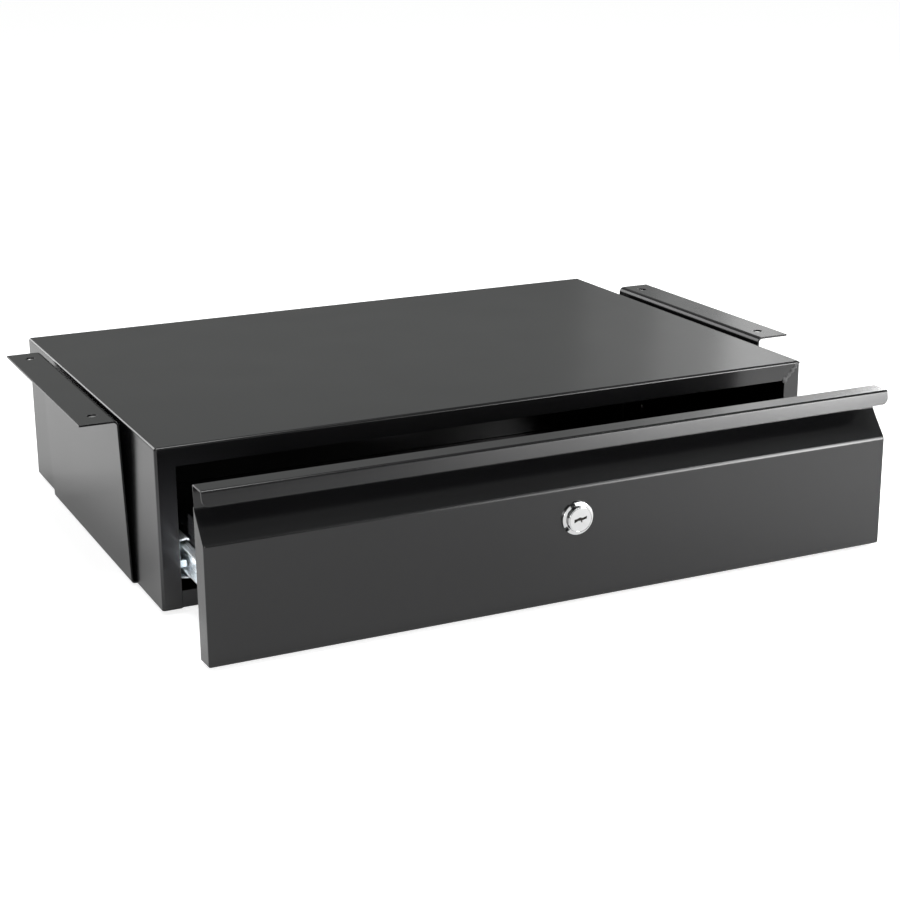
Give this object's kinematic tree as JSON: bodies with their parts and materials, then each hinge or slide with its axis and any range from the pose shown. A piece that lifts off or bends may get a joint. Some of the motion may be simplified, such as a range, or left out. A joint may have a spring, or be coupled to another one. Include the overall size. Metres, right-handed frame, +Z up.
{
  "type": "under desk drawer safe",
  "caption": "Low black steel drawer safe that hangs under a desk on side brackets, with a ball-slide drawer, a lipped pull and a turning cam lock.",
  "frame": {"origin": "middle of the whole part's width and depth, at the lowest face of the bracket screws' heads, with the drawer pulled 85 mm open as pictured", "axes": "+X to the right seen from the drawer's front, +Y to the rear, +Z up towards the desk"},
  "size_m": [0.5754, 0.454, 0.1212],
  "materials": {
    "powder_coat": "semi-gloss black powder coat, fine texture",
    "zinc_plate": "bright zinc plate, bluish",
    "chrome": "polished chrome plate",
    "steel": "bright steel, satin",
    "acetal": "matt natural plastic"
  },
  "bodies": {
    "cabinet": {"cabinet_shell": "powder_coat", "cabinet_bottom": "powder_coat", "cabinet_back": "powder_coat", "bracket_left": "powder_coat", "slide_mount_left": "powder_coat", "slide_outer_left": "zinc_plate", "bracket_screw_left_front": "zinc_plate", "bracket_nut_left_front": "zinc_plate", "slide_outer_screw_left_front": "zinc_plate", "bracket_screw_left_rear": "zinc_plate", "bracket_nut_left_rear": "zinc_plate", "slide_outer_screw_left_rear": "zinc_plate", "bracket_right": "powder_coat", "slide_mount_right": "powder_coat", "slide_outer_right": "zinc_plate", "bracket_screw_right_front": "zinc_plate", "bracket_nut_right_front": "zinc_plate", "slide_outer_screw_right_front": "zinc_plate", "bracket_screw_right_rear": "zinc_plate", "bracket_nut_right_rear": "zinc_plate", "slide_outer_screw_right_rear": "zinc_plate"},
    "drawer": {"drawer_pan": "powder_coat", "drawer_front": "powder_coat", "front_back_plate": "powder_coat", "lock_housing": "chrome", "lock_nut": "steel", "slide_inner_left": "zinc_plate", "slide_inner_screw_left_front": "zinc_plate", "slide_inner_screw_left_middle": "zinc_plate", "slide_inner_screw_left_rear": "zinc_plate", "front_screw_left_lower": "zinc_plate", "front_screw_left_upper": "zinc_plate", "slide_inner_right": "zinc_plate", "slide_inner_screw_right_front": "zinc_plate", "slide_inner_screw_right_middle": "zinc_plate", "slide_inner_screw_right_rear": "zinc_plate", "front_screw_right_lower": "zinc_plate", "front_screw_right_upper": "zinc_plate"},
    "ball_cages": {"ball_cage_left_lower": "acetal", "ball_cage_left_upper": "acetal", "ball_cage_right_lower": "acetal", "ball_cage_right_upper": "acetal"},
    "lock_core": {"lock_plug": "chrome", "lock_cam": "steel", "lock_cam_screw": "steel"}
  },
  "joints": [
    {"name": "drawer_slide", "type": "slide", "parent": "cabinet", "child": "drawer", "axis": [0, -1, 0], "range_m": [-0.085, 0.14]},
    {"name": "ball_cage_slide", "type": "slide", "parent": "cabinet", "child": "ball_cages", "axis": [0, -1, 0], "range_m": [-0.0425, 0.07]},
    {"name": "lock_turn", "type": "hinge", "parent": "drawer", "child": "lock_core", "pos_m": [0.0035, -0.22205, 0.0618], "axis": [0, 1, 0], "range_deg": [0, 90]}
  ],
  "couplings": [
    {"joint": "ball_cage_slide", "follows": "drawer_slide", "ratio": 0.5}
  ]
}
